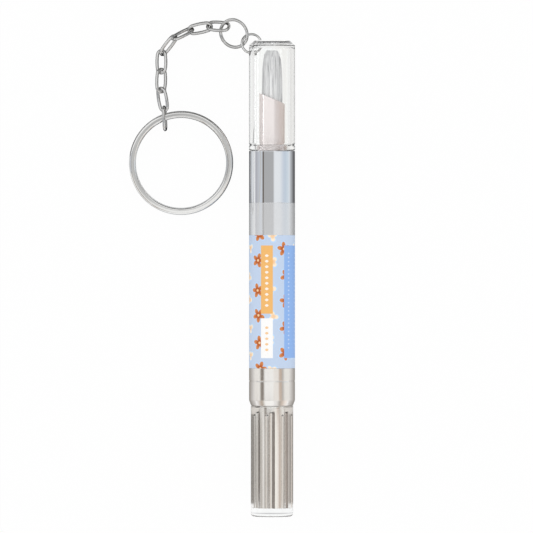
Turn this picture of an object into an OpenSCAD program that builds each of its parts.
// Twist-up nail oil pen with a clear cap, a soft brush and a keychain of
// oval links. The pen lies along +Y with its flat knob end at the origin.
// It rests on a table at one pen radius below the axis, and the chain and the
// key ring lie beside it, to the left.

/* [Pen body] */
// Outer diameter of the pen
pen_d = 11; // [9:0.5:14]
// Length of the silver collar behind the label
rear_collar_len = 9; // [7.5:0.5:14]
// Length of the printed label
label_len = 31.8; // [28:0.5:60]
// Length of the frosted band in front of the label
band_len = 7.7; // [5:0.5:16]
// Length of the bright collar that holds the brush
front_collar_len = 12.5; // [9:0.5:18]
// Thickness of the label and of the frosted band
skin_t = 0.3; // [0.2:0.05:0.5]
// Wall of the two metal collars
collar_wall = 0.5; // [0.35:0.05:0.7]
// Wall of the oil barrel, where the label covers it
barrel_wall = 0.9; // [0.6:0.1:1.4]

/* [Knob] */
// Outer diameter of the clear knob
knob_d = 10.15; // [9.5:0.05:10.6]
// Length of the clear knob
knob_len = 26.35; // [22:0.05:36]
// Wall of the clear knob
knob_wall = 1.75; // [1.2:0.05:1.85]
// Thickness of the clear end of the knob
knob_end_t = 2; // [1:0.1:4]
// Rounding of the knob's end edge
knob_round = 0.8; // [0.3:0.1:1.5]
// Number of main flutes in the silver core
flute_count = 6; // [5:1:10]

/* [Cap] */
// Length of the clear cap
cap_len = 26.28; // [25:0.02:34]
// Wall of the cap's side
cap_wall = 1.15; // [0.9:0.05:1.4]
// Thickness of the cap's top
cap_top_t = 1.5; // [1:0.1:2.5]
// Width of the chamfer round the cap's top
cap_chamfer_w = 1.2; // [0.5:0.1:1.6]
// Length of the chamfer round the cap's top
cap_chamfer_len = 1.1; // [0.5:0.1:2]
// Diameter of the two holes that the small ring passes through
ring_hole_d = 1.3; // [1.1:0.1:1.6]

/* [Brush] */
// Outer diameter of the brush sleeve
sleeve_d = 6.1; // [5.7:0.1:6.6]
// Wall of the brush sleeve round the bristles
sleeve_wall = 0.45; // [0.3:0.05:0.6]
// Length of the sleeve's longer side above its flange
sleeve_long = 12.8; // [11.5:0.1:13.5]
// Length of the sleeve's shorter side above its flange
sleeve_short = 10.1; // [9.5:0.1:11]
// Diameter of the bristle bundle at its tip
brush_tip_d = 3.66; // [2.4:0.1:4.2]
// Length of the bristles above their backing
brush_len = 14.7; // [10:0.1:14.9]
// Strands along one side of the square plan that is pressed into a round
strand_rows = 18; // [12:1:18]

/* [Chain and rings] */
// Wire diameter of the chain links
link_wire = 0.75; // [0.6:0.05:0.76]
// Outer length of a chain link
link_len = 6.2; // [6:0.1:7.5]
// Outer width of a chain link
link_w = 3.2; // [3.1:0.05:3.4]
// Outer diameter of the large jump ring
big_ring_d = 7.6; // [6.8:0.1:9]
// Wire diameter of the large jump ring
big_ring_wire = 0.75; // [0.6:0.05:0.8]
// Outer diameter of the small jump ring
small_ring_d = 5.24; // [5.1:0.02:5.4]
// Wire diameter of the small jump ring
small_ring_wire = 0.6; // [0.5:0.05:0.65]
// Outer diameter of the key ring
key_ring_d = 25; // [22:0.5:27]
// Width of the key ring's band, seen from above
key_ring_w = 1.65; // [1.2:0.05:2]
// Thickness of the key ring
key_ring_t = 1.45; // [1:0.05:1.5]

/* [Mechanism] */
// Diameter of the lead screw
screw_d = 3; // [2.5:0.1:3.4]
// Width over the two flats of the lead screw
screw_flats_w = 2.3; // [2:0.1:2.4]
// Travel of the piston from full to empty
piston_stroke = 27; // [10:0.5:27]
// Number of ratchet teeth
tooth_count = 24; // [12:1:36]
// Number of sprung pawls
pawl_count = 3; // [2:1:4]

/* [Hidden] */
$fn = 72;

// Overrun of every cut past the face that it opens
cut = 0.5;
// Radial gap of pieces that are pressed or glued together
seat_gap = 0.02;
// Radial gap of pieces that turn or slide in each other
run_gap = 0.08;
// Gap along the pen between the turning knob and the rear collar
knob_gap = 0.15;
// Length of the silver core that shows beyond the clear shell
core_over = 0.05;
// Gap along the pen between the cap and the front collar
cap_gap = 0.12;
// End play of the pieces of the mechanism
end_play = 0.3;

// Radii of the outer body
pen_r = pen_d / 2;
knob_r = knob_d / 2;
skin_in_r = pen_r - skin_t;
barrel_r = skin_in_r - seat_gap;
bore_r = barrel_r - barrel_wall;
collar_in_r = pen_r - collar_wall;
tail_r = collar_in_r - seat_gap;

// Stations along the pen, from the knob end
core_start = knob_end_t;
core_end = knob_len + core_over;
rear_start = core_end + knob_gap;
rear_end = rear_start + rear_collar_len;
label_end = rear_end + label_len;
band_end = label_end + band_len;
front_end = band_end + front_collar_len;
cap_start = front_end + cap_gap;
cap_end = cap_start + cap_len;

// Silver core in the knob
core_r = knob_r - knob_wall - seat_gap;
core_rim_len = 1;
core_floor_t = 1.2;
screw_room = 0.3;
core_bore_r = screw_d / 2 + screw_room;
flute_r = 0.75;
flute_depth = 0.35;
flute_tip_len = 0.6;
minor_flute_r = 0.45;
minor_flute_depth = 0.28;
minor_drop = 0.7;
flute_turn = 29.5;
minor_flute_share = 0.7;

// Rear collar and what it holds
rear_cone_len = 1.3;
rear_small_r = 5;
rear_wall_t = 1.2;
rear_line_at = 3.1;
rear_line_w = 0.12;
rear_line_depth = 0.06;
tail_len = 1.2;

// Drive sleeve, ratchet and nut
drive_wall = 0.75;
drive_r = screw_d / 2 + drive_wall;
drive_back = 4.55;
ratchet_len = 3.6;
tooth_crest_r = 4.2;
tooth_root_r = 4.55;
pawl_t = 0.28;
pawl_sweep = 70;
pawl_root_sweep = 12;
pawl_tip_sweep = 5;
nut_flange_t = 1.4;
nut_len = 3.4;

// Lead screw and piston
screw_r = screw_d / 2;
screw_start_gap = 0.3;
piston_len = 5;
piston_socket = 3;
seal_w = 1;
seal_depth = 0.7;
piston_nose = 0.8;

// Front collar, nozzle and feed tube
collar_top_t = 0.8;
collar_round = 0.12;
neck_inset = 0.5;
nozzle_len = 9;
nozzle_lead = 0.4;
feed_r = 0.8;
feed_bore_r = 0.45;
feed_tail = 1.5;
stem_len = 4.5;
stem_inset = 0.25;

// Brush sleeve and bristles
sleeve_r = sleeve_d / 2;
sleeve_bore_r = sleeve_r - sleeve_wall;
flange_w = 0.5;
flange_t = 1.1;
bundle_gap = 0.12;
pad_t = 0.8;
pad_sink = 5.2;
strand_share = 0.74;
ragged_share = 0.045;
mid_share = 0.55;
strand_seed = 11;

// Cap mouth
lip_len = 1.3;
mouth_round = 0.3;
groove_at = 1.3;
groove_w = 0.6;
groove_depth = 0.52;

// Small jump ring, which hangs in the cap's edge
ring_inset = 0.6;
ring_below_top = 0.6;
ring_drop = 1.6;
ring_heading = 150;
small_tilt = 12;
ring_cut = 0.08;

// Large jump ring
hang_gap = 0.15;
big_lift = -10;
big_tilt = -26;

// Chain: headings, lifts and rolls in degrees, link by link, and the links' form
link_headings = [175, 192, 208.1, 232.6, 270.5, 268.2, 279.5, 273.2];
link_lifts = [-20.7, -4.6, 16.4, -2.3, 8.4, 4.2, -3.2, -4.7];
link_rolls = [33, -33, 61, -57, 30, -33, 37.8, -81.7];
link_gap = 0.13;
link_end_share = 0.9;
side_wire_share = 0.975;
link_lap = 0.06;
pivot_shares = [0.17, 0.84, 0.71, 0.8, 0.42, 0.35, 0.34];
hook_share = 0.327;

// Key ring
key_round = 0.5;
key_heading = 289.9;
key_hook_share = -0.09;

// Lengths worked out for the chain
link_arc_r = (link_w - link_wire) / 2;
link_half = (link_len - link_wire) / 2;
link_arc = link_half - link_arc_r;
link_free = 2 * link_arc_r - link_wire - link_gap;
link_end_r = link_end_share * link_arc_r;
link_side_r = (pow(link_half - link_end_r, 2) + pow(link_arc_r, 2) - pow(link_end_r, 2))
  / (2 * (link_arc_r - link_end_r));
link_end_turn = atan2(link_side_r - link_arc_r, link_half - link_end_r);
link_lap_turn = asin(link_lap / link_side_r);
small_r = (small_ring_d - small_ring_wire) / 2;
big_r = (big_ring_d - big_ring_wire) / 2;
key_r = (key_ring_d - key_ring_w) / 2;

function heading_vec(h, e) = [cos(h) * cos(e), sin(h) * cos(e), sin(e)];
function link_dir(i) = heading_vec(link_headings[i], link_lifts[i]);
small_centre = [ring_inset - pen_r, cap_end - ring_below_top, -ring_drop];
small_dir = heading_vec(ring_heading, 0);
big_dir = heading_vec(ring_heading, big_lift);
big_back = (small_ring_wire + big_ring_wire) / 2 + hang_gap;
big_centre = small_centre + small_dir * small_r + big_dir * (big_r - big_back);
hook_point = big_centre + big_dir * big_r;
function link_centre(i) = i == 0
  ? hook_point + link_dir(0) * link_half * hook_share
  : link_pivot(i) + link_dir(i) * (link_arc + (1 - pivot_shares[i - 1]) * link_free);
function link_pivot(i) = link_centre(i - 1)
  + link_dir(i - 1) * (link_arc + pivot_shares[i - 1] * link_free);
key_hook = link_centre(7) + link_dir(7) * link_half * key_hook_share;
key_rise = key_hook[2] + pen_r - key_ring_t / 2;
key_lift = -asin(key_rise / (2 * key_r + key_ring_w / 2));
key_centre = key_hook + heading_vec(key_heading, key_lift) * key_r;

// Stations of the hidden pieces
drive_start = knob_len - drive_back;
ratchet_start = rear_start + rear_wall_t + end_play;
ratchet_end = ratchet_start + ratchet_len;
nut_start = ratchet_end + end_play;
tail_start = nut_start + nut_flange_t;
nut_end = tail_start + nut_len;
drive_end = nut_start - end_play;
screw_start = core_start + core_floor_t + screw_start_gap;
piston_start = nut_end + end_play;
screw_end = piston_start + piston_socket - end_play;
neck_end = front_end - collar_top_t - neck_inset;
nozzle_end = front_end - collar_top_t;
nozzle_start = nozzle_end - nozzle_len;
stem_r = sleeve_r - stem_inset;
flange_end = front_end + flange_t;
slant_mid = flange_end + (sleeve_long + sleeve_short) / 2;
slant_angle = atan((sleeve_long - sleeve_short) / sleeve_d);
sleeve_floor = flange_end + sleeve_long - pad_sink;
pad_r = sleeve_bore_r - seat_gap;
bundle_r = sleeve_bore_r - bundle_gap;
cap_bore_r = pen_r - cap_wall;
lip_r = sleeve_r + flange_w + run_gap;

// Turns a piece that stands on +Z so that it lies along the pen
module along_pen(station = 0) {
  rotate([-90, 0, 0])
    translate([0, 0, station])
      children();
}

// Straight tube along the pen, from one station to another
module tube(outer, inner, from, to) {
  along_pen(from)
    difference() {
      cylinder(r = outer, h = to - from);
      translate([0, 0, -cut])
        cylinder(r = inner, h = to - from + 2 * cut);
    }
}

// Half outline of a round bar whose end edges are rounded
module bar_outline(r, h, low = 0, high = 0) {
  widest = max(low, high);
  square([r - widest, h]);
  translate([0, low])
    square([r, h - low - high]);
  if (low > 0)
    translate([r - low, low])
      circle(low);
  if (high > 0)
    translate([r - high, h - high])
      circle(high);
}

// Bar of the lead screw's section: round with two flats
module keyed_bar(r, flats, h) {
  intersection() {
    cylinder(r = r, h = h);
    translate([-r - cut, -flats / 2, -cut])
      cube([2 * (r + cut), flats, h + 2 * cut]);
  }
}

// Clear shell of the turning knob
module knob_shell() {
  color("WhiteSmoke", 0.5)
    along_pen()
      difference() {
        rotate_extrude()
          bar_outline(knob_r, knob_len, low = knob_round);
        translate([0, 0, knob_end_t])
          cylinder(r = knob_r - knob_wall, h = knob_len);
      }
}

// Cutter of one flute, with a pointed upper end
module flute_cutter(r, depth, top) {
  translate([core_r - depth + r, 0, -cut]) {
    cylinder(r = r, h = top - flute_tip_len + cut);
    translate([0, 0, top - flute_tip_len + cut])
      cylinder(r1 = r, r2 = 0, h = flute_tip_len);
  }
}

// Silver core with long flutes, seen through the clear knob
module knob_core() {
  core_len = core_end - core_start;
  color("Silver")
    along_pen(core_start)
      difference() {
        cylinder(r = core_r, h = core_len);
        translate([0, 0, core_floor_t])
          cylinder(r = core_bore_r, h = core_len);
        translate([0, 0, drive_start - core_start])
          cylinder(r = drive_r + seat_gap, h = core_len);
        for (i = [0 : flute_count - 1])
          rotate([0, 0, flute_turn + i * 360 / flute_count])
            flute_cutter(flute_r, flute_depth, core_len - core_rim_len);
        for (i = [0 : flute_count - 1])
          rotate([0, 0, flute_turn + (i + minor_flute_share) * 360 / flute_count])
            flute_cutter(minor_flute_r, minor_flute_depth,
              core_len - core_rim_len - minor_drop);
      }
}

// One sprung pawl of the drive sleeve, drawn at the moment it clears a tooth
module pawl() {
  tip_r = tooth_crest_r - run_gap;
  arm_r = tip_r - pawl_t;
  rotate_extrude(angle = pawl_sweep)
    translate([arm_r - pawl_t, 0])
      square([pawl_t, ratchet_len - 2 * end_play]);
  rotate_extrude(angle = pawl_root_sweep)
    translate([drive_r - pawl_t, 0])
      square([arm_r - drive_r + pawl_t, ratchet_len - 2 * end_play]);
  rotate([0, 0, pawl_sweep - pawl_tip_sweep])
    rotate_extrude(angle = pawl_tip_sweep)
      translate([arm_r - pawl_t, 0])
        square([2 * pawl_t, ratchet_len - 2 * end_play]);
}

// Sleeve that turns the lead screw and carries the ratchet pawls
module drive_sleeve() {
  color("White") {
    along_pen(drive_start)
      difference() {
        cylinder(r = drive_r, h = drive_end - drive_start);
        translate([0, 0, -cut])
          keyed_bar(screw_r + run_gap, screw_flats_w + 2 * run_gap,
            drive_end - drive_start + 2 * cut);
      }
    along_pen(ratchet_start + end_play)
      for (i = [0 : pawl_count - 1])
        rotate([0, 0, i * 360 / pawl_count])
          pawl();
  }
}

// Fixed ring of saw teeth round the pawls
module ratchet_ring() {
  step = 360 / tooth_count;
  color("White")
    along_pen(ratchet_start)
      difference() {
        cylinder(r = tail_r, h = ratchet_len);
        translate([0, 0, -cut])
          linear_extrude(ratchet_len + 2 * cut)
            polygon([for (i = [0 : tooth_count - 1], k = [0, 1])
              let (r = k == 0 ? tooth_crest_r : tooth_root_r,
                a = (i + 0.12 * k) * step)
              r * [cos(a), sin(a)]]);
      }
}

// Silver collar behind the label, with a short cone towards the knob
module rear_collar() {
  color("LightGray")
    along_pen(rear_start)
      difference() {
        rotate_extrude()
          polygon([[0, 0], [rear_small_r, 0], [pen_r, rear_cone_len],
            [pen_r, rear_collar_len - rear_line_at - rear_line_w],
            [pen_r - rear_line_depth, rear_collar_len - rear_line_at - rear_line_w / 2],
            [pen_r, rear_collar_len - rear_line_at],
            [pen_r, rear_collar_len], [0, rear_collar_len]]);
        translate([0, 0, rear_wall_t])
          cylinder(r = collar_in_r, h = rear_collar_len);
        translate([0, 0, -cut])
          cylinder(r = drive_r + run_gap, h = rear_wall_t + 2 * cut);
      }
}

// Fixed nut that the lead screw climbs through
module thread_nut() {
  color("White")
    along_pen(nut_start)
      difference() {
        union() {
          cylinder(r = tail_r, h = nut_flange_t);
          cylinder(r = bore_r - seat_gap, h = nut_end - nut_start);
        }
        translate([0, 0, -cut])
          cylinder(r = screw_r + run_gap, h = nut_end - nut_start + 2 * cut);
      }
}

// Lead screw with two flats, turned by the knob
module lead_screw() {
  color("White")
    along_pen(screw_start)
      keyed_bar(screw_r, screw_flats_w, screw_end - screw_start);
}

// Piston that pushes the oil forward
module piston() {
  seal_at = piston_len - piston_nose - seal_w;
  color("White")
    along_pen(piston_start)
      difference() {
        union() {
          cylinder(r = bore_r - run_gap, h = piston_len - piston_nose);
          translate([0, 0, piston_len - piston_nose])
            cylinder(r1 = bore_r - run_gap, r2 = bore_r - piston_nose, h = piston_nose);
        }
        translate([0, 0, -cut])
          cylinder(r = screw_r + run_gap, h = piston_socket + cut);
        translate([0, 0, seal_at - seal_w])
          difference() {
            cylinder(r = bore_r, h = seal_w);
            translate([0, 0, -cut])
              cylinder(r = bore_r - seal_depth, h = seal_w + 2 * cut);
          }
      }
}

// Soft ring in the piston's groove
module piston_seal() {
  seal_at = piston_len - piston_nose - seal_w;
  inner = bore_r - seal_depth + seat_gap;
  outer = bore_r - seat_gap;
  color("DarkGray")
    along_pen(piston_start + seal_at - seal_w / 2)
      rotate_extrude()
        translate([(inner + outer) / 2, 0])
          circle((outer - inner) / 2);
}

// Barrel that holds the oil, with a tail and a neck for the collars
module barrel() {
  color("AliceBlue")
    difference() {
      union() {
        tube(tail_r, bore_r, tail_start, neck_end);
        tube(barrel_r, bore_r, rear_end, band_end);
      }
    }
}

// Printed label round the barrel
module label() {
  color("LightSteelBlue")
    tube(pen_r, skin_in_r, rear_end, label_end);
}

// Frosted band between the label and the bright collar
module frosted_band() {
  color("Gainsboro")
    tube(pen_r, skin_in_r, label_end, band_end);
}

// Bright collar that closes the barrel and holds the brush sleeve
module front_collar() {
  color("Silver")
    along_pen(band_end)
      difference() {
        rotate_extrude()
          bar_outline(pen_r, front_collar_len, high = collar_round);
        translate([0, 0, -cut])
          cylinder(r = collar_in_r, h = front_collar_len - collar_top_t + cut);
        cylinder(r = stem_r + seat_gap, h = front_collar_len + cut);
      }
}

// Plug in the barrel's neck, with a socket for the sleeve's stem
module nozzle() {
  color("White")
    along_pen(nozzle_start)
      difference() {
        union() {
          cylinder(r1 = bore_r - seat_gap - nozzle_lead, r2 = bore_r - seat_gap,
            h = nozzle_lead);
          translate([0, 0, nozzle_lead])
            cylinder(r = bore_r - seat_gap, h = nozzle_len - nozzle_lead);
          translate([0, 0, nozzle_len - neck_inset])
            cylinder(r = tail_r, h = neck_inset);
        }
        translate([0, 0, -cut])
          cylinder(r = feed_r + seat_gap, h = nozzle_len + 2 * cut);
        translate([0, 0, nozzle_len - stem_len + collar_top_t])
          cylinder(r = stem_r + seat_gap, h = stem_len);
      }
}

// Thin tube that carries the oil to the bristles
module feed_tube() {
  color("White")
    tube(feed_r, feed_bore_r, nozzle_start - feed_tail, sleeve_floor);
}

// Nude sleeve with a flange and a slanted mouth
module brush_sleeve() {
  color("MistyRose", 0.9)
    along_pen()
      difference() {
        union() {
          translate([0, 0, front_end - stem_len])
            cylinder(r = stem_r, h = stem_len);
          translate([0, 0, front_end])
            cylinder(r = sleeve_r + flange_w, h = flange_t);
          translate([0, 0, flange_end])
            cylinder(r = sleeve_r, h = sleeve_long);
        }
        translate([0, 0, sleeve_floor])
          cylinder(r = sleeve_bore_r, h = sleeve_long);
        translate([0, 0, front_end - stem_len - cut])
          cylinder(r = feed_r + seat_gap, h = sleeve_floor);
        translate([0, 0, slant_mid])
          rotate([0, slant_angle, 0])
            translate([-sleeve_d, -sleeve_d, 0])
              cube([2 * sleeve_d, 2 * sleeve_d, sleeve_long]);
      }
}

// Grid lines of the strands across the square plan, from -1 to 1
cells = 2 * strand_rows - 1;
cell_pitch_share = 2 / (strand_rows + (strand_rows - 1) * (1 / strand_share - 1));
function line_share(k) = -1 + cell_pitch_share
  * (ceil(k / 2) + floor(k / 2) * (1 / strand_share - 1));
// Presses the square plan into a round one
function disc(u, v) = [u * sqrt(1 - v * v / 2), v * sqrt(1 - u * u / 2)];
function is_strand(i, j) = i % 2 == 0 && j % 2 == 0;
ragged = rands(0, 1, strand_rows * strand_rows, strand_seed);
function strand_len(n) = brush_len * (1 - ragged_share * 2 * pow(ragged[n], 1.5));
function bundle_at(t) = bundle_r + (brush_tip_d / 2 - bundle_r) * pow(t, 1.3);

// Bristles: strands that rise from one thin backing, all one closed surface
module bristles() {
  lines = cells + 1;
  flat = [for (j = [0 : cells], i = [0 : cells]) disc(line_share(i), line_share(j))];
  corner = function(i, j, k) (j + (k >= 2 ? 1 : 0)) * lines
    + i + (k == 1 || k == 2 ? 1 : 0);
  rim_loop = [for (i = [0 : cells - 1]) i,
    for (j = [0 : cells - 1]) j * lines + cells,
    for (i = [cells : -1 : 1]) cells * lines + i,
    for (j = [cells : -1 : 1]) j * lines];
  top_points = [for (p = flat) [p[0] * bundle_r, p[1] * bundle_r, pad_t]];
  floor_points = [for (m = rim_loop) [flat[m][0] * bundle_r, flat[m][1] * bundle_r, 0]];
  strand_points = [for (b = [0 : strand_rows - 1], a = [0 : strand_rows - 1],
    level = [mid_share, 1], k = [0 : 3])
    let (n = b * strand_rows + a, p = flat[corner(2 * a, 2 * b, k)],
      z = strand_len(n) * level, spread = bundle_at(z / brush_len))
    [p[0] * spread, p[1] * spread, pad_t + z]];
  rim_count = len(rim_loop);
  base = len(flat);
  middle = base + rim_count;
  rise = middle + 1;
  quad = function(a, b, c, d) [[a, b, c], [a, c, d]];
  between = [for (j = [0 : cells - 1], i = [0 : cells - 1]) if (!is_strand(i, j))
    each quad(corner(i, j, 3), corner(i, j, 2), corner(i, j, 1), corner(i, j, 0))];
  rim = [for (m = [0 : rim_count - 1])
    let (n = (m + 1) % rim_count)
    each concat(quad(base + m, rim_loop[m], rim_loop[n], base + n),
      [[middle, base + m, base + n]])];
  sides = [for (b = [0 : strand_rows - 1], a = [0 : strand_rows - 1], k = [0 : 3])
    let (s = rise + 8 * (b * strand_rows + a), q = (k + 1) % 4,
      low = corner(2 * a, 2 * b, k), low2 = corner(2 * a, 2 * b, q))
    each concat(quad(low, s + k, s + q, low2), quad(s + k, s + 4 + k, s + 4 + q, s + q))];
  tips = [for (n = [0 : strand_rows * strand_rows - 1])
    let (s = rise + 8 * n + 4)
    each quad(s + 3, s + 2, s + 1, s)];
  color("Linen")
    along_pen(sleeve_floor)
      polyhedron(concat(top_points, floor_points, [[0, 0, 0]], strand_points),
        concat(between, rim, sides, tips));
}

// Point of the small ring's wire at an angle round its own centre
function small_point(a) =
  let (f = heading_vec(ring_heading, 0), s = [-f[1] * cos(small_tilt),
    f[0] * cos(small_tilt), sin(small_tilt)])
  small_centre + small_r * (cos(a - ring_heading) * f + sin(a - ring_heading) * s);
side_mid = sqrt(pow((pen_r + cap_bore_r) / 2, 2) - pow(ring_drop, 2));
side_hole_angle = -acos((-side_mid - small_centre[0]) / small_r);
top_hole_angle = asin((cap_end - cap_top_t / 2 - small_centre[1]) / small_r);
side_hole = small_point(side_hole_angle);
top_hole = small_point(top_hole_angle);

// Clear cap with a grooved mouth and two holes for the small ring
module cap() {
  color("WhiteSmoke", 0.5)
    difference() {
      along_pen(cap_start)
        rotate_extrude()
          polygon([[0, 0], [pen_r - mouth_round, 0], [pen_r, mouth_round],
            [pen_r, groove_at - groove_w / 2], [pen_r - groove_depth, groove_at],
            [pen_r, groove_at + groove_w / 2], [pen_r, cap_len - cap_chamfer_len],
            [pen_r - cap_chamfer_w, cap_len], [0, cap_len]]);
      along_pen(cap_start + lip_len)
        cylinder(r = cap_bore_r, h = cap_len - lip_len - cap_top_t);
      along_pen(cap_start - cut)
        cylinder(r = lip_r, h = lip_len + 2 * cut);
      translate([-pen_r - cut, side_hole[1], side_hole[2]])
        rotate([0, 90, 0])
          cylinder(d = ring_hole_d, h = pen_r + cut - cap_bore_r / 2);
      translate([top_hole[0], cap_end - cap_top_t - cut, top_hole[2]])
        rotate([-90, 0, 0])
          cylinder(d = ring_hole_d, h = cap_top_t + 2 * cut);
    }
}

// Round ring of wire with a fine cut, in its own plane
module jump_ring(outer_d, wire, turn) {
  mid_r = (outer_d - wire) / 2;
  open_angle = 2 * asin(ring_cut / (2 * mid_r));
  rotate([0, 0, turn])
    rotate_extrude(angle = 360 - open_angle)
      translate([mid_r, 0])
        circle(d = wire);
}

// Small jump ring through the cap's side and top
module small_jump_ring() {
  color("Silver")
    translate(small_centre)
      rotate([small_tilt, 0, ring_heading])
        jump_ring(small_ring_d, small_ring_wire, 150);
}

// Large jump ring between the small one and the chain
module large_jump_ring() {
  color("Silver")
    translate(big_centre)
      rotate([big_tilt, -big_lift, ring_heading])
        jump_ring(big_ring_d, big_ring_wire, 70);
}

// Oval link of round wire, in its own plane: two round ends and two bowed sides
module oval_link() {
  for (end = [0, 1])
    rotate([0, 0, 180 * end]) {
      translate([link_half - link_end_r, 0, 0])
        rotate([0, 0, -link_end_turn])
          rotate_extrude(angle = 2 * link_end_turn)
            translate([link_end_r, 0])
              circle(d = link_wire);
      translate([0, link_arc_r - link_side_r, 0])
        rotate([0, 0, link_end_turn - link_lap_turn])
          rotate_extrude(angle = 180 - 2 * (link_end_turn - link_lap_turn))
            translate([link_side_r, 0])
              circle(d = link_wire * side_wire_share);
    }
}

// Link of the chain at its own place, heading and roll
module chain_link(i) {
  color("Silver")
    translate(link_centre(i))
      rotate([link_rolls[i], -link_lifts[i], link_headings[i]])
        oval_link();
}

module chain_link_1() { chain_link(0); }
module chain_link_2() { chain_link(1); }
module chain_link_3() { chain_link(2); }
module chain_link_4() { chain_link(3); }
module chain_link_5() { chain_link(4); }
module chain_link_6() { chain_link(5); }
module chain_link_7() { chain_link(6); }
module chain_link_8() { chain_link(7); }

// Flat key ring with rounded edges, resting on the table and in the last link
module key_ring() {
  half_w = key_ring_w / 2;
  half_t = key_ring_t / 2;
  color("LightGray")
    translate(key_centre)
      rotate([0, -key_lift, key_heading])
        rotate_extrude()
          translate([key_r, 0]) {
            square([key_ring_w, key_ring_t - 2 * key_round], center = true);
            square([key_ring_w - 2 * key_round, key_ring_t], center = true);
            for (x = [-1, 1], y = [-1, 1])
              translate([x * (half_w - key_round), y * (half_t - key_round)])
                circle(key_round);
          }
}

knob_shell();
knob_core();
drive_sleeve();
ratchet_ring();
rear_collar();
thread_nut();
lead_screw();
piston();
piston_seal();
barrel();
label();
frosted_band();
front_collar();
nozzle();
feed_tube();
brush_sleeve();
bristles();
cap();
small_jump_ring();
large_jump_ring();
chain_link_1();
chain_link_2();
chain_link_3();
chain_link_4();
chain_link_5();
chain_link_6();
chain_link_7();
chain_link_8();
key_ring();
